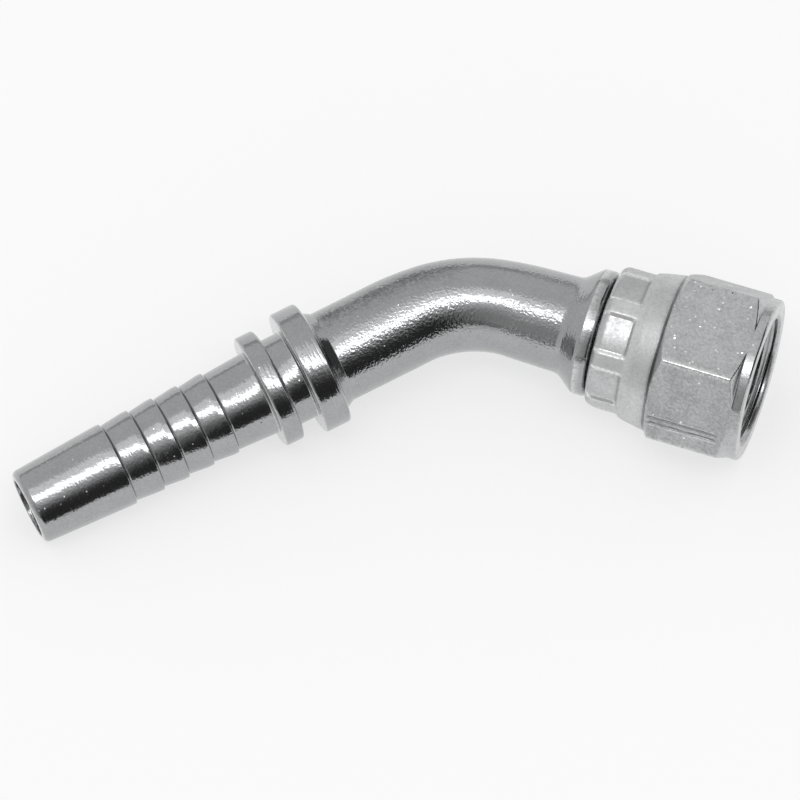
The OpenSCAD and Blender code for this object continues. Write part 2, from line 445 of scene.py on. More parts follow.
def ring_mesh(name, rings, around_mm, finish):
    """A closed mesh of rings of points, each joined to the next and the last one to the first.

    around_mm is each column's distance around the axis, and finish holds other values of the
    points by name. All are kept as attributes, so that the plate can follow the turned form.
    """
    rows, around, _ = rings.shape
    index = np.arange(rows * around).reshape(rows, around)
    beside = np.roll(index, -1, axis=1)
    quads = np.stack([index, beside, np.roll(beside, -1, axis=0), np.roll(index, -1, axis=0)], axis=2)
    mesh = bpy.data.meshes.new(name)
    mesh.vertices.add(rows * around)
    mesh.vertices.foreach_set("co", (rings.reshape(-1, 3) * MM).astype(np.float32).ravel())
    mesh.loops.add(quads.size)
    mesh.loops.foreach_set("vertex_index", quads.astype(np.int32).ravel())
    mesh.polygons.add(rows * around)
    mesh.polygons.foreach_set("loop_start", np.arange(0, quads.size, 4, dtype=np.int32))
    mesh.update(calc_edges=True)
    mesh.validate()
    for key, values in finish.items():
        layer = mesh.attributes.new(key, "FLOAT", "POINT")
        spread = np.broadcast_to(values, (rows, around))
        layer.data.foreach_set("value", spread.astype(np.float32).ravel())
    # The distance around is kept by corner, so that it closes without a jump back to the start
    closing = np.append(around_mm, 2 * around_mm[-1] - around_mm[-2])
    left = np.broadcast_to(closing[:-1], (rows, around))
    right = np.broadcast_to(closing[1:], (rows, around))
    layer = mesh.attributes.new("around", "FLOAT", "CORNER")
    corners = np.stack([left, right, right, left], axis=2)
    layer.data.foreach_set("value", corners.astype(np.float32).ravel())
    mesh.polygons.foreach_set("use_smooth", np.ones(len(mesh.polygons), dtype=bool))
    mesh.set_sharp_from_angle(angle=SHARP_ANGLE)
    return add_object(name, mesh)


# The stem

def crest(i):
    """Distance of a barb's crest from the tip, counted from the tip."""
    return LEAD_L if i == 0 else LEAD_L + LEAD_PITCH + (i - 1) * BARB_PITCH


def nose_outline():
    """The stem's outside from the cone nose to the bend's end at the tail."""
    back_corner = -RIM_X + SHOULDER_BACK_EDGE * math.tan(FLARE_ANGLE / 2)
    return [
        (0.0, NOSE_BORE_R + NOSE_BORE_FACE, 0),
        (0.0, NOSE_R, NOSE_EDGE),
        (CONE_L, HEAD_R, HEAD_FRONT_EDGE),
        (-HEAD_BACK_X, HEAD_R, HEAD_BACK_EDGE),
        (-NECK_X, NECK_R, NECK_FRONT_FILLET),
        (-SHOULDER_X, NECK_R, NECK_BACK_FILLET),
        (-SHOULDER_X, SHOULDER_R, SHOULDER_FRONT_EDGE),
        (back_corner, SHOULDER_R, SHOULDER_BACK_EDGE),
        (-FLARE_X, TUBE_R, FLARE_FILLET),
        (BEND_FROM_S, BEND_TUBE_R, BEND_END_ROUND),
        (BEND_TO_S, BEND_TUBE_R, BEND_END_ROUND),
    ]


def collar_outline():
    """The two collars with the slope before them, up to the root of the tail."""
    foot_top_r = BEND_TUBE_R + STOP_FOOT_H
    return [
        (STOP_S - STOP_FOOT_L, BEND_TUBE_R, STOP_FOOT_ROUND),
        (STOP_S - STOP_FOOT_TOP_L, foot_top_r, STOP_FOOT_ROUND),
        (STOP_S, foot_top_r + STOP_FOOT_TOP_H, STOP_FOOT_TOP_ROUND),
        (STOP_S, STOP_R, COLLAR_EDGE),
        (GROOVE_S, STOP_R, COLLAR_EDGE),
        (GROOVE_S, LOCK_GROOVE_R, COLLAR_FILLET),
        (LOCK_S, LOCK_GROOVE_R, COLLAR_FILLET),
        (LOCK_S, LOCK_R, COLLAR_EDGE),
        (TAIL_S, LOCK_R, COLLAR_EDGE),
        (TAIL_S, CREST_R, COLLAR_FILLET),
    ]


def tail_outline():
    """The barbs, with a fine groove at the root of each, the lead and the rounded tip."""
    out = []
    for i in range(BARB_N, -1, -1):
        at = TIP_S - crest(i)
        out += [
            (at - STEP_L - ROOT_GROOVE_L, ROOT_R, ROOT_GROOVE_EDGE),
            (at - STEP_L, ROOT_R - ROOT_GROOVE_D, ROOT_GROOVE_ROUND),
            (at, CREST_R, CREST_EDGE),
            (at + CREST_LAND, CREST_R, LAND_ROUND),
        ]
    for t in np.linspace(0, math.pi / 2, TIP_ARC_STEPS + 1):
        from_tip = TIP_ROUND * (1 - math.sin(t))
        out.append((TIP_S - from_tip, TIP_R - TIP_ROUND * (1 - math.cos(t)), 0))
    return out


def bore_outline():
    """The bore from the tip back to the nose, with a cone between its two widths."""
    return [
        (TIP_S, TAIL_BORE_R, TIP_BORE_EDGE),
        (GROOVE_S, TAIL_BORE_R, 0),
        (GROOVE_S - BORE_CONE_L, NOSE_BORE_R, 0),
        (BEND_TO_S, BEND_BORE_R, 0),
        (BEND_FROM_S, BEND_BORE_R, 0),
        (0.0, NOSE_BORE_R, NOSE_BORE_EDGE),
        (0.0, NOSE_BORE_R + NOSE_BORE_FACE, 0),
    ]


def centre_line(s):
    """The centre line's place at a station and its turn there, in the plane of the bend."""
    turn = min(max(s - BEND_FROM_S, 0.0) / BEND_R, BEND_ANGLE)
    before = min(s, BEND_FROM_S)
    after = max(s - BEND_TO_S, 0.0)
    x = -before - BEND_R * math.sin(turn) - after * math.cos(turn)
    y = -BEND_R * (1 - math.cos(turn)) - after * math.sin(turn)
    return x, y, turn


def stem_ring(s, r, angle):
    """A ring of points about the centre line, a little oval and flattened in the bend."""
    centre_x, centre_y, turn = centre_line(s)
    inside_bend = min(s - BEND_FROM_S, BEND_TO_S - s)
    in_bend = rise(inside_bend, -BEND_EASE_BEFORE, BEND_EASE_L)
    oval = 1 - in_bend * (1 - BEND_IN_PLANE_R / BEND_TUBE_R)
    flattened = BEND_OUTSIDE_FLAT * in_bend * np.maximum(np.cos(angle), 0) ** 2
    outward = r * np.cos(angle) * oval - flattened
    x = centre_x - math.sin(turn) * outward
    y = centre_y + math.cos(turn) * outward
    z = r * np.sin(angle)
    c = math.cos(LEAN)
    w = math.sin(LEAN)
    return np.stack([x, c * y - w * z, w * y + c * z], axis=1)


def stem_finish(s, r, angle, bore):
    """How the stem's plate and its painted shade differ from place to place, each value from 0 to about
    1.
    """
    # Bending roughens the tube, apart from the first half of the bend, which is rubbed smooth
    bent = rise(s, -FLARE_TOP_X + 0.28, BENT_EASE_L) * fall(s, STOP_S, 5)
    rubbed = rise(s, BEND_FROM_S - 1, BENT_EASE_L) * fall(s, BEND_FROM_S + 0.5 * BEND_L, 4)
    coarse = (COARSE_PLAIN + COARSE_BENT * bent) * (1 - RUBBED_SHARE * rubbed)

    # Turning marks are plainest on the collars and the flare, and next to them on the lead
    lead = rise(s, TIP_S - LEAD_L, 3)
    collars = rise(s, STOP_S - 1, 1) * fall(s, TAIL_S + 5, 3)
    flare = fall(s, -FLARE_X + 2.53, 4)
    marked = np.clip(TURNED_LEAD * lead + collars + flare, 0, 1)
    turned = TURNED_LEAST + (1 - TURNED_LEAST) * marked

    edges = [-SHOULDER_X, -RIM_X, STOP_S, GROOVE_S, LOCK_S, TAIL_S, TIP_S]
    wear_and_highlight = near(s, edges, EDGE_WEAR_REACH) * ~bore

    # Painted shade: a dusky patch along the outside of the bend, on its upper side
    dusky_shade = towards(angle, DUSKY_SHADE_SIDE, power=2) * ~bore
    dusky_shade = dusky_shade * rise(s, BEND_FROM_S + 0.3 * BEND_L, 8) * fall(s, STOP_S - 1, 2)

    # Painted shade: darker in the bore, least near the tip's rim, and in the barbs' root grooves and on
    # the collars' walls on their upper side
    dark = bore * (BORE_RIM_DARK + (1 - BORE_RIM_DARK) * fall(s, TIP_S, BORE_DARK_L))
    root_places = [TIP_S - crest(i) - STEP_L for i in range(BARB_N + 1)]
    roots = near(s, root_places, ROOT_DARK_REACH) * ~bore
    dark = np.maximum(dark, roots * towards(angle, DARK_ROOT_SIDE))
    walls = near(s, [GROOVE_S, TAIL_S], WALL_DARK_REACH) * fall(r, LOCK_R - 0.1, 0.5) * ~bore
    dark = np.maximum(dark, WALL_DARK * walls * towards(angle, DARK_WALL_SIDE))

    return {"along": s, "coarse": coarse, "turned": turned, "wear_and_highlight": wear_and_highlight, "dark": dark,
            "crystals": 1.0 * ~bore, "dull": 0.0, "dusky_shade": dusky_shade}


def make_stem():
    corners = nose_outline() + collar_outline() + tail_outline() + bore_outline()
    profile = distinct(densify(rounded(corners), STEM_STEP))
    angle = np.linspace(0, 2 * math.pi, STEM_AROUND, endpoint=False)
    rings = np.array([stem_ring(s, r, angle) for s, r in profile])
    s = profile[:, :1]
    r = profile[:, 1:]
    bore = np.arange(len(profile))[:, None] > np.argmax(s)
    return ring_mesh("stem_body", rings, angle * TUBE_R, stem_finish(s, r, angle, bore))


# The nut

def nut_angles():
    """Angles about the nut's axis, closer together at corners, at marks' edges and at the score."""
    degrees = list(np.arange(0, 360, NUT_AROUND_DEG))
    for corner in range(0, 360, 60):
        degrees += [corner + side * off for side in (-1, 1) for off in (0.25, 0.5, 0.75, 1.5)]
    half = math.degrees(CRIMP_HALF)
    for i in range(CRIMP_N):
        middle = (i + 0.5) * 360 / CRIMP_N
        degrees += [middle + side * (half + 0.7 * k) for side in (-1, 1) for k in range(-3, 4)]
    degrees += list(math.degrees(SCORE_ANGLE) + np.arange(-3.5, 3.6, 0.25))
    return np.radians(np.unique(np.round(np.array(degrees) % 360, 4)))


def from_corner(angle):
    """Angle from the nearest corner of the hexagon."""
    return np.abs((angle + HALF_SIDE) % SIDE - HALF_SIDE)


def hexagon(angle):
    """Distance from the axis to the hexagon with rounded corners, at each angle."""
    off = from_corner(angle)
    from_flat = HALF_SIDE - off
    inner = HEX_FLAT_R - HEX_CORNER_ROUND
    on_flat = HEX_FLAT_R * np.tan(from_flat) <= inner * math.tan(HALF_SIDE)
    corner_r = inner / math.cos(HALF_SIDE)
    under = np.maximum(HEX_CORNER_ROUND ** 2 - (corner_r * np.sin(off)) ** 2, 0)
    corner = corner_r * np.cos(off) + np.sqrt(under)
    return np.where(on_flat, HEX_FLAT_R / np.cos(from_flat), corner)


def nut_back_outline():
    """The lip, the crimped collar, the swelling, the groove at the foot and the back chamfer."""
    chamfer_l = (HEX_PAST_R - HEX_FOOT_R) * math.tan(HEX_CHAMFER)
    corners = rounded([
        (NUT_BACK_X, LIP_BORE_R, 0),
        (NUT_BACK_X, RIDGE_R, LIP_ROUND),
        (SWELL_X, RIDGE_R, RIDGE_ROUND),
        (SWELL_X + SWELL_L, SWELL_R, SWELL_ROUND),
        (HEX_BACK_X - FOOT_GROOVE_L, HEX_FOOT_R - FOOT_GROOVE_LIP, FOOT_EDGE),
        (HEX_BACK_X - FOOT_GROOVE_L / 2, HEX_FOOT_R - FOOT_GROOVE_D, FOOT_GROOVE_ROUND),
        (HEX_BACK_X, HEX_FOOT_R, FOOT_EDGE),
        (HEX_BACK_X + chamfer_l, HEX_PAST_R, 0),
    ])
    return densify(corners, NUT_BACK_STEP)


def nut_front_outline():
    """The front chamfer, the round nose, the front face and the countersink."""
    chamfer_l = (HEX_PAST_R - NUT_NOSE_R) * math.tan(HEX_CHAMFER)
    corners = rounded([
        (HEX_FRONT_X - chamfer_l, HEX_PAST_R, 0),
        (HEX_FRONT_X, NUT_NOSE_R, NUT_NOSE_FILLET),
        (NUT_FRONT_X - FRONT_CHAMFER, NUT_NOSE_R, NUT_NOSE_EDGE),
        (NUT_FRONT_X, NUT_NOSE_R - FRONT_CHAMFER, FRONT_FACE_EDGE),
        (NUT_FRONT_X, MOUTH_R, MOUTH_EDGE),
        (THREAD_FRONT_X, THREAD_R, 0),
    ])
    return densify(corners, NUT_FRONT_STEP)


def nut_hollow_outline():
    """The relief behind the thread and the bores over the stem's head and neck."""
    return rounded([
        (THREAD_BACK_X - STEP_OFF, RELIEF_R, 0),
        (RELIEF_BACK_X, RELIEF_R, HOLLOW_ROUND),
        (RELIEF_BACK_X, HEAD_BORE_R, RELIEF_EDGE),
        (SEAT_X, HEAD_BORE_R, HOLLOW_ROUND),
        (SEAT_X - (HEAD_BORE_R - LIP_BORE_R), LIP_BORE_R, HOLLOW_ROUND),
        (NUT_BACK_X + LIP_END_L, LIP_BORE_R, 0),
    ])


def score_relief(x, angle):
    """The scored line: 1 in its grooves and below 0 on the burrs, broken up along its length."""
    off = (angle - SCORE_ANGLE) * HEX_FLAT_R
    from_line = np.abs(off) - SCORE_GAP / 2
    grooves = bell(from_line, SCORE_W) - BURR_SHARE * bell(from_line - BURR_OFF, BURR_W)
    ends = rise(x, SCORE_FROM_X, SCORE_FADE) * fall(x, SCORE_TO_X, SCORE_FADE)
    phase = np.where(off < 0, 0.0, 2.0)
    wander = 3 * np.sin(1.7 * x + phase)
    dashes = 0.5 + 0.5 * smooth(0.6 + 0.9 * np.sin(5.6 * x + phase + wander))
    return grooves * ends * dashes


def thread_relief(x, angle):
    """Height of the thread's ridges, which wind along the bore and fade at both ends."""
    wave = 0.5 + 0.5 * np.cos(2 * math.pi * x / THREAD_PITCH - angle)
    ends = fall(x, THREAD_FRONT_X, THREAD_START_L) * rise(x, THREAD_BACK_X, THREAD_RUNOUT_L)
    return (THREAD_R - THREAD_MINOR_R) * wave * ends


def nut_finish(x, angle, zone):
    """How the nut's plate and its painted shade, highlight and glints differ from place to place, each
    value from 0 to about 1.
    """
    # Corners wear bright, and the one at 120 degrees is brightest as a painted highlight; the die
    # marks' edges and the burrs wear bright too
    on_corner = fall(from_corner(angle) * HEX_FLAT_R, CORNER_WEAR_END, CORNER_WEAR_FADE)
    highlight_corner = towards(angle, HIGHLIGHT_CORNER_SIDE)
    corner_wear_and_highlight = on_corner * (CORNER_WEAR_LEAST + (1 - CORNER_WEAR_LEAST) * highlight_corner)
    mark_edge = bell(zone.from_middle - CRIMP_HALF, MARK_EDGE_HALF) * zone.run * zone.collar
    wear_and_highlight = np.maximum(corner_wear_and_highlight * zone.flat, mark_edge)
    wear_and_highlight = np.maximum(wear_and_highlight, np.clip(-2 * zone.scored, 0, 1))

    # Painted shade: darker inside, least near the mouth, and in the scored line, at the marks' front
    # walls, and in the groove at the hexagon's foot, most on its upper side
    deep = fall(x, THREAD_FRONT_X, MOUTH_DARK_L)
    dark = zone.inner * (MOUTH_DARK + (1 - MOUTH_DARK) * deep)
    dark = np.maximum(dark, np.clip(SCORE_DARK * zone.scored, 0, 1))
    mark_front = bell(x - CRIMP_END_X - 0.05, MARK_FRONT_REACH) * zone.side * zone.collar
    dark = np.maximum(dark, MARK_FRONT_DARK * mark_front)
    foot = bell(x - HEX_BACK_X + 0.05, FOOT_DARK_REACH) * zone.outside
    foot_dark = FOOT_DARK_LEAST + (1 - FOOT_DARK_LEAST) * towards(angle, DARK_FOOT_SIDE)
    dark = np.maximum(dark, foot * foot_dark)

    # Turning marks are on the chamfers, the nose and the thread, and weaker in the pressed marks
    pressed = zone.side * zone.run * zone.collar
    chamfers = zone.outside * (1 - zone.flat) * rise(x, CRIMP_END_X, 3)
    turned = np.maximum(PRESSED_TURNED * pressed, chamfers * np.where(x < 0, BACK_CHAMFER_TURNED, 1.0))
    turned = np.maximum(turned, THREAD_TURNED * zone.thread)

    # The collar and the swelling behind the hexagon are duller than the rest
    skirt = zone.outside * (1 - SWELL_BRIGHTER * rise(x, SWELL_X, 1.5))
    skirt = skirt * fall(x, HEX_BACK_X, SKIRT_EASE_L) * rise(x, NUT_BACK_X + 0.4, SKIRT_EASE_L)
    dull = skirt * (1 - PRESSED_BRIGHTER * pressed)

    # Crystals are painted as bright glints, most on the upper flat, many on the lower ones and few on
    # the rest
    patches = towards(angle, GLINT_UPPER_SIDE)
    patches = patches + GLINTS_LOWER * towards(angle, GLINT_LOWER_SIDE)
    glints_here = (GLINTS_LEAST + (1 - GLINTS_LEAST) * patches) * zone.flat
    coarse = COARSE_NUT + (1 - COARSE_NUT) * zone.flat
    return {"along": x, "coarse": coarse, "turned": turned, "wear_and_highlight": wear_and_highlight, "dark": dark,
            "crystals": glints_here, "dull": dull, "dusky_shade": 0.0}


def make_nut():
    """The nut, turned, trimmed to a hexagon, scored, pressed by the dies and threaded."""
    back = nut_back_outline()
    front = nut_front_outline()
    flats = even_points(back[-1], front[0], FLAT_STEPS)[:-1]
    thread = even_points((THREAD_FRONT_X, THREAD_R), (THREAD_BACK_X, THREAD_R), THREAD_STEPS)
    profile = np.concatenate([back, flats, front, thread, nut_hollow_outline()])
    row = np.arange(len(profile))[:, None]
    inner_row = len(back) + len(flats) + len(front)
    angle = nut_angles()
    x = profile[:, :1]
    turned_r = np.repeat(profile[:, 1:], len(angle), axis=1)
    zone = SimpleNamespace()
    zone.outside = (row < inner_row) & (turned_r > MOUTH_R + 0.5)
    zone.inner = row >= inner_row
    zone.thread = zone.inner & (row < inner_row + len(thread))

    # The hexagon trims the turned outline, and what it trims is flat
    trimmed = zone.outside & (x > HEX_BACK_X - 1.5)
    r = np.where(trimmed, soft_min(turned_r, hexagon(angle), HEX_EDGE_BLEND), turned_r)
    zone.flat = rise(turned_r - r, 0.02, 0.1) * zone.outside
    zone.scored = score_relief(x, angle) * zone.flat
    r = r - SCORE_DEPTH * zone.scored

    # The dies press slices of the ridge down, with sloping walls at their sides and front
    pitch = 2 * math.pi / CRIMP_N
    zone.from_middle = np.abs(angle % pitch - pitch / 2)
    zone.side = fall(zone.from_middle, CRIMP_HALF + CRIMP_WALL / 2, CRIMP_WALL)
    zone.run = fall(x, CRIMP_END_X + 1.05 * CRIMP_DEPTH, 1.1 * CRIMP_DEPTH)
    zone.collar = (row < len(back)) & (x < SWELL_X + 0.6) & (r > LIP_BORE_R + 1.2)
    flattened = CRIMP_FLATNESS * CRIMP_R * (1 / np.cos(CRIMP_HALF) - 1 / np.cos(zone.from_middle))
    depth = (CRIMP_DEPTH + np.maximum(flattened, 0)) * zone.side * zone.run
    lip_share = np.clip((r - (RIDGE_R - LIP_FADE)) / LIP_FADE, 0, 1)
    r = np.where(zone.collar, r - depth * lip_share, r)

    r = np.where(zone.thread, r - thread_relief(x, angle), r)
    rings = np.stack([np.broadcast_to(x, r.shape), r * np.cos(angle), r * np.sin(angle)], axis=2)
    return ring_mesh("nut_body", rings, angle * HEX_FLAT_R, nut_finish(x, angle, zone))


# Shader nodes

def node(tree, kind, **inputs):
    """A shader node with these input values, by name with spaces as underscores."""
    made = tree.nodes.new(kind)
    for key, value in inputs.items():
        made.inputs[key.replace("_", " ")].default_value = value
    return made


def fill(tree, socket, value):
    """Sets an input to a number or a vector, or links it to a socket."""
    if isinstance(value, bpy.types.NodeSocket):
        tree.links.new(value, socket)
    else:
        socket.default_value = value


def math_node(tree, operation, *values):
    made = tree.nodes.new("ShaderNodeMath")
    made.operation = operation
    for socket, value in zip(made.inputs, values):
        fill(tree, socket, value)
    return made.outputs[0]


def vector_node(tree, operation, a, b):
    """Vector arithmetic on a and b, where b is a number if a is to be scaled by it."""
    made = tree.nodes.new("ShaderNodeVectorMath")
    made.operation = operation
    fill(tree, made.inputs[0], a)
    fill(tree, made.inputs["Scale" if operation == "SCALE" else 1], b)
    return made.outputs[0]


def map_range(tree, value, low, high, to_low, to_high):
    made = tree.nodes.new("ShaderNodeMapRange")
    tree.links.new(value, made.inputs["Value"])
    for key, number in (("From Min", low), ("From Max", high), ("To Min", to_low), ("To Max", to_high)):
        made.inputs[key].default_value = number
    return made.outputs[0]


def noise(tree, vector, scale, detail=2.0, roughness=0.5):
    made = node(tree, "ShaderNodeTexNoise", Scale=scale, Detail=detail, Roughness=roughness)
    tree.links.new(vector, made.inputs["Vector"])
    return made.outputs["Fac"]


def bump(tree, height, distance, normal):
    made = node(tree, "ShaderNodeBump", Strength=1.0, Distance=distance)
    tree.links.new(height, made.inputs["Height"])
    tree.links.new(normal, made.inputs["Normal"])
    return made.outputs[0]


def attribute(tree, name):
    made = tree.nodes.new("ShaderNodeAttribute")
    made.attribute_name = name
    return made.outputs["Fac"]


def blend(tree, share, a, b):
    """A mix of two colours or numbers, each given as a value or a socket."""
    made = tree.nodes.new("ShaderNodeMix")
    kind = "Color" if isinstance(b, tuple) else "Float"
    made.data_type = "RGBA" if kind == "Color" else "FLOAT"
    inputs = {socket.identifier: socket for socket in made.inputs}
    tree.links.new(share, inputs["Factor_Float"])
    for key, value in (("A_" + kind, a), ("B_" + kind, b)):
        fill(tree, inputs[key], (*value, 1) if isinstance(value, tuple) else value)
    return {socket.identifier: socket for socket in made.outputs}["Result_" + kind]


def new_material(name):
    material = bpy.data.materials.new(name)
    material.use_nodes = True
    return material


# The zinc plate. Noise scales are in waves per metre, and turning marks in waves per millimetre
MICRON = 1e-6
CLOUD_SCALE = 260.0
GRAIN_SCALE = 2100.0
PEEL_SCALE = 2300.0
MARKED_AREA_SCALE = 150.0
MARKS_ALONG = 2.6
MARKS_AROUND = 0.3
DUSKY_SHADE_TONE = (0.17, 0.175, 0.18)
SHADE_TONE = (0.09, 0.09, 0.095)
CRYSTAL_GLOSS = 0.15
WORN_GLOSS = 0.16


def crystals(tree, place, scale, share, tilt):
    """The surface's normal, tilted in a share of small spots like crystals, and those spots."""
    cells = node(tree, "ShaderNodeTexVoronoi", Scale=scale, Randomness=1.0)
    tree.links.new(place, cells.inputs["Vector"])
    chance = tree.nodes.new("ShaderNodeTexWhiteNoise")
    tree.links.new(cells.outputs["Position"], chance.inputs["Vector"])
    local_share = math_node(tree, "MULTIPLY", attribute(tree, "crystals"), share)
    chosen = math_node(tree, "LESS_THAN", chance.outputs["Value"], local_share)
    spot = map_range(tree, cells.outputs["Distance"], 0.34, 0.5, 1.0, 0.0)
    shown = math_node(tree, "MULTIPLY", chosen, spot)
    lean = vector_node(tree, "SUBTRACT", cells.outputs["Color"], (0.5, 0.5, 0.5))
    lean = vector_node(tree, "SCALE", lean, math_node(tree, "MULTIPLY", shown, 2 * tilt))
    to_world = tree.nodes.new("ShaderNodeVectorTransform")
    to_world.vector_type = "VECTOR"
    to_world.convert_from = "OBJECT"
    to_world.convert_to = "WORLD"
    tree.links.new(lean, to_world.inputs[0])
    straight = tree.nodes.new("ShaderNodeNewGeometry").outputs["Normal"]
    total = vector_node(tree, "ADD", straight, to_world.outputs[0])
    unit = tree.nodes.new("ShaderNodeVectorMath")
    unit.operation = "NORMALIZE"
    tree.links.new(total, unit.inputs[0])
    return unit.outputs[0], shown


def zinc(name, *, dark, light, wear_and_highlight, crystal, gloss_turned, gloss_plain, peel_um, turning_um,
         crystal_scale, crystal_share, crystal_tilt):
    """Zinc plate, whose tone runs from dark to light in clouds and a fine grain. Its edges wear bright,
    with a painted highlight on one corner of the nut; painted shade darkens one patch, the bores and
    the grooves, and crystals are painted as glints. Its relief is an orange peel and turning marks
    around the axis."""
    material = new_material(name)
    tree = material.node_tree
    shader = tree.nodes["Principled BSDF"]
    shader.inputs["Metallic"].default_value = 1.0
    place = tree.nodes.new("ShaderNodeTexCoord").outputs["Object"]
    dull = attribute(tree, "dull")
    turned = attribute(tree, "turned")
    normal, glint_spots = crystals(tree, place, crystal_scale, crystal_share, crystal_tilt)

    # Tone
    clouds = noise(tree, place, CLOUD_SCALE, 3.0, 0.6)
    grain = noise(tree, place, GRAIN_SCALE, 2.0, 0.6)
    tone = math_node(tree, "MULTIPLY_ADD", grain, 0.6, math_node(tree, "MULTIPLY", clouds, 0.4))
    colour = blend(tree, map_range(tree, tone, 0.35, 0.65, 0.0, 1.0), dark, light)
    # Edges take the bright colour where they wear, and so does the painted highlight on one corner of
    # the nut
    wear_grain = map_range(tree, grain, 0.36, 0.52, 0.3, 1.0)
    rubbed = math_node(tree, "MULTIPLY", attribute(tree, "wear_and_highlight"), wear_grain)
    colour = blend(tree, rubbed, colour, wear_and_highlight)
    colour = blend(tree, math_node(tree, "MULTIPLY", dull, 0.5), colour, wear_and_highlight)
    # Painted shade: the patch along the bend darkens the colour towards a dark grey
    dusky_shade_grain = map_range(tree, tone, 0.4, 0.56, 0.9, 0.25)
    dusky_shade = math_node(tree, "MULTIPLY", attribute(tree, "dusky_shade"), dusky_shade_grain)
    colour = blend(tree, dusky_shade, colour, DUSKY_SHADE_TONE)
    # Painted glints: the crystals' spots take their own colour, near white on the nut
    colour = blend(tree, glint_spots, colour, crystal)
    # Painted shade: the colour goes towards a near black where the dark attribute is
    painted_shade = math_node(tree, "MULTIPLY", attribute(tree, "dark"), 0.75)
    colour = blend(tree, painted_shade, colour, SHADE_TONE)
    tree.links.new(colour, shader.inputs["Base Color"])

    # Gloss
    gloss = blend(tree, math_node(tree, "MINIMUM", turned, 1.0), gloss_plain, gloss_turned)
    gloss = math_node(tree, "MULTIPLY", gloss, map_range(tree, tone, 0.35, 0.65, 1.25, 0.8))
    gloss = math_node(tree, "MULTIPLY_ADD", dull, 0.2, gloss)
    gloss = blend(tree, glint_spots, gloss, CRYSTAL_GLOSS)
    gloss = blend(tree, rubbed, gloss, WORN_GLOSS)
    tree.links.new(gloss, shader.inputs["Roughness"])

    # Relief
    peel = noise(tree, place, PEEL_SCALE, 1.0)
    peel = math_node(tree, "MULTIPLY", peel, attribute(tree, "coarse"))
    normal = bump(tree, peel, peel_um * MICRON, normal)
    on_turned_form = tree.nodes.new("ShaderNodeCombineXYZ")
    for socket, layer, scale in (("X", "along", MARKS_ALONG), ("Y", "around", MARKS_AROUND)):
        scaled = math_node(tree, "MULTIPLY", attribute(tree, layer), scale)
        fill(tree, on_turned_form.inputs[socket], scaled)
    marks = noise(tree, on_turned_form.outputs[0], 1.0, 1.0)
    marked_area = map_range(tree, noise(tree, place, MARKED_AREA_SCALE, 1.0), 0.42, 0.6, 0.25, 1.0)
    marks = math_node(tree, "MULTIPLY", math_node(tree, "MULTIPLY", marks, marked_area), turned)
    normal = bump(tree, marks, turning_um * MICRON, normal)
    tree.links.new(normal, shader.inputs["Normal"])
    return material


stem_zinc = zinc(
    "stem_zinc_plate", dark=(0.36, 0.365, 0.37), light=(0.42, 0.425, 0.43),
    wear_and_highlight=(0.66, 0.66, 0.66), crystal=(0.44, 0.44, 0.44), gloss_turned=0.14, gloss_plain=0.14,
    peel_um=44, turning_um=60, crystal_scale=3000.0, crystal_share=0.04, crystal_tilt=0.2)
# The nut's crystals are painted near white, as glints
nut_zinc = zinc(
    "nut_zinc_plate", dark=(0.42, 0.425, 0.43), light=(0.58, 0.585, 0.59),
    wear_and_highlight=(0.85, 0.85, 0.85), crystal=(0.95, 0.95, 0.95), gloss_turned=0.2, gloss_plain=0.42,
    peel_um=44, turning_um=34, crystal_scale=2400.0, crystal_share=0.05, crystal_tilt=0.35)

stem = make_stem()
stem.data.materials.append(stem_zinc)
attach(stem, "stem")
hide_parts("hose_stem")

nut = make_nut()
nut.data.materials.append(nut_zinc)
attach(nut, "nut")
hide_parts("swivel_nut")

# The camera looks at this point from far off. Its azimuth is from +X and its elevation from the
# ground, and lengths from here on are in metres
CAMERA_AIM = Vector((-0.045697, -0.021903, 0.001004))
CAMERA_AZIMUTH = math.radians(-70.4777)
CAMERA_ELEVATION = math.radians(64.0969)
CAMERA_ROLL = math.radians(-1.3963)
CAMERA_DISTANCE = 2.0
VIEW_WIDTH = 0.13027
SENSOR_MM = 36.0

CAMERA_BACK = Vector((
    math.cos(CAMERA_ELEVATION) * math.cos(CAMERA_AZIMUTH),
    math.cos(CAMERA_ELEVATION) * math.sin(CAMERA_AZIMUTH),
    math.sin(CAMERA_ELEVATION)))
LEVEL = Vector((0, 0, 1)).cross(CAMERA_BACK).normalized()
ABOVE = CAMERA_BACK.cross(LEVEL)
CAMERA_RIGHT = LEVEL * math.cos(CAMERA_ROLL) + ABOVE * math.sin(CAMERA_ROLL)
CAMERA_UP = ABOVE * math.cos(CAMERA_ROLL) - LEVEL * math.sin(CAMERA_ROLL)

camera_data = bpy.data.cameras.new("camera")
camera_data.sensor_width = SENSOR_MM
camera_data.lens = SENSOR_MM * CAMERA_DISTANCE / VIEW_WIDTH
camera_data.clip_start = 0.01
camera_data.clip_end = 50
camera = add_object("camera", camera_data)
camera_turn = Matrix((CAMERA_RIGHT, CAMERA_UP, CAMERA_BACK)).transposed().to_4x4()
camera.matrix_world = Matrix.Translation(CAMERA_AIM + CAMERA_BACK * CAMERA_DISTANCE) @ camera_turn
bpy.context.scene.camera = camera

# The floor and the light
FLOOR_W = 12.0
FLOOR_Z = MOUNTS["nut_flat"]["pos_m"][2]
FLOOR_GREY = 0.94
PAPER_WHITE = 0.62
ROOM_GREY = 0.76
CARD_FOOT = (0.86, 0.72)
CARD_GLOW = (0.15, 0.8)
CARD_GLOW_CURVE = 2.6


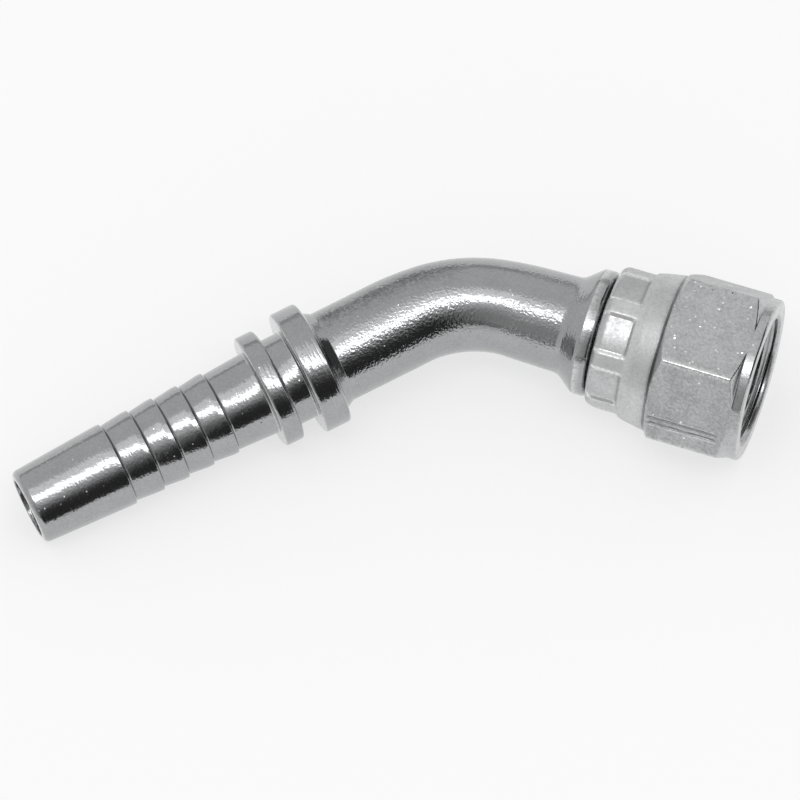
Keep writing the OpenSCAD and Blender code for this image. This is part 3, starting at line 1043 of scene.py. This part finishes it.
def floor_paint():
    """Matt pale paint, which the camera and shiny surfaces see part of the way to white."""
    material = new_material("floor_paint")
    tree = material.node_tree
    paint = tree.nodes["Principled BSDF"]
    paint.inputs["Base Color"].default_value = (FLOOR_GREY, FLOOR_GREY, FLOOR_GREY, 1)
    paint.inputs["Roughness"].default_value = 0.9
    paint.inputs["Specular IOR Level"].default_value = 0.0
    rays = tree.nodes.new("ShaderNodeLightPath").outputs
    seen = math_node(tree, "MAXIMUM", rays["Is Camera Ray"], rays["Is Glossy Ray"])
    seen = math_node(tree, "MAXIMUM", seen, rays["Is Transmission Ray"])
    paper = node(tree, "ShaderNodeEmission", Color=(1, 1, 1, 1), Strength=1.0)
    mix = tree.nodes.new("ShaderNodeMixShader")
    tree.links.new(math_node(tree, "MULTIPLY", seen, PAPER_WHITE), mix.inputs[0])
    tree.links.new(paint.outputs[0], mix.inputs[1])
    tree.links.new(paper.outputs[0], mix.inputs[2])
    tree.links.new(mix.outputs[0], tree.nodes["Material Output"].inputs["Surface"])
    return material


floor = add_object("floor", rectangle("floor", FLOOR_W, FLOOR_W, FLOOR_Z))
floor.data.materials.append(floor_paint())


def placed(right, up, distance, roll):
    """Placement of something flat that faces the object, its top towards the picture's top.

    It stands this many degrees to the right of the camera and above it, seen from the object,
    and is turned by roll degrees in its own plane.
    """
    a = math.radians(right)
    b = math.radians(up)
    level = CAMERA_BACK * math.cos(a) + CAMERA_RIGHT * math.sin(a)
    way = (level * math.cos(b) + CAMERA_UP * math.sin(b)).normalized()
    side = CAMERA_UP.cross(way).normalized()
    top = way.cross(side).normalized()
    turn = Matrix((side, top, way)).transposed() @ Matrix.Rotation(math.radians(roll), 3, "Z")
    return Matrix.Translation(CAMERA_AIM + way * distance) @ turn.to_4x4()


def card_paint(name, width, height, left_shade, right_shade, top_glow, foot_share):
    material = new_material(name)
    tree = material.node_tree
    tree.nodes.clear()
    across = tree.nodes.new("ShaderNodeSeparateXYZ")
    tree.links.new(tree.nodes.new("ShaderNodeTexCoord").outputs["Object"], across.inputs[0])
    w = width / 2
    h = height / 2
    shade = map_range(tree, across.outputs["X"], -w, w, left_shade, right_shade)
    foot = map_range(tree, across.outputs["Y"], -h * CARD_FOOT[0], -h * CARD_FOOT[1], foot_share, 1.0)
    shade = math_node(tree, "MULTIPLY", shade, foot)
    height_share = map_range(tree, across.outputs["Y"], -h * CARD_GLOW[0], h * CARD_GLOW[1], 0.0, 1.0)
    curve = math_node(tree, "POWER", height_share, CARD_GLOW_CURVE)
    shade = math_node(tree, "ADD", shade, math_node(tree, "MULTIPLY", curve, top_glow))
    glow = tree.nodes.new("ShaderNodeEmission")
    tree.links.new(shade, glow.inputs["Color"])
    out = tree.nodes.new("ShaderNodeOutputMaterial")
    tree.links.new(glow.outputs[0], out.inputs["Surface"])
    return material


def card(name, *, right, up, distance, width, height, roll=0.0, left_shade, right_shade,
         top_glow=0.0, foot_share=1.0):
    """A card that only shiny surfaces see, as a mirror would show it. Its shade runs from left to
    right, top_glow is added towards its top, and foot_share is what is left of it at its foot."""
    piece = add_object(name, rectangle(name, width, height))
    piece.matrix_world = placed(right, up, distance, roll)
    paint = card_paint(name, width, height, left_shade, right_shade, top_glow, foot_share)
    piece.data.materials.append(paint)
    piece.visible_camera = False
    piece.visible_diffuse = False
    piece.visible_shadow = False


def softbox(name, *, right, up, distance, width, height, roll, radiance):
    """A rectangular lamp that faces the object; radiance is what a mirror would show of it."""
    data = bpy.data.lights.new(name, "AREA")
    data.shape = "RECTANGLE"
    data.size = width
    data.size_y = height
    data.energy = radiance * math.pi * width * height
    add_object(name, data).matrix_world = placed(right, up, distance, roll)


softbox("softbox_overhead", right=0, up=12, distance=1.4, width=1.2, height=0.32, roll=-11.5,
        radiance=2.9)
softbox("softbox_top", right=-8, up=29, distance=1.5, width=1.25, height=0.5, roll=-14,
        radiance=0.5)
card("flag_right", right=33, up=-28, distance=1.3, width=1.0, height=1.45, roll=-8,
     left_shade=0.04, right_shade=0.03, top_glow=0.6)
card("flag_middle", right=3, up=-26, distance=1.34, width=0.6, height=1.35, roll=-8,
     left_shade=0.36, right_shade=0.04, top_glow=0.5, foot_share=0.3)
card("flag_left", right=-25, up=-25, distance=1.38, width=0.82, height=1.35, roll=-8,
     left_shade=0.45, right_shade=0.36, top_glow=0.3, foot_share=0.3)
card("flag_far_right", right=72, up=20, distance=1.5, width=1.6, height=2.3,
     left_shade=0.07, right_shade=0.07)
card("horizon_strip", right=-8, up=108, distance=1.6, width=3.6, height=0.34,
     left_shade=0.48, right_shade=0.48)

world = bpy.data.worlds.new("studio")
bpy.context.scene.world = world
world.use_nodes = True
background = world.node_tree.nodes["Background"]
background.inputs["Color"].default_value = (ROOM_GREY, ROOM_GREY, ROOM_GREY, 1)
background.inputs["Strength"].default_value = 1.0

bpy.context.scene.view_settings.view_transform = "Standard"
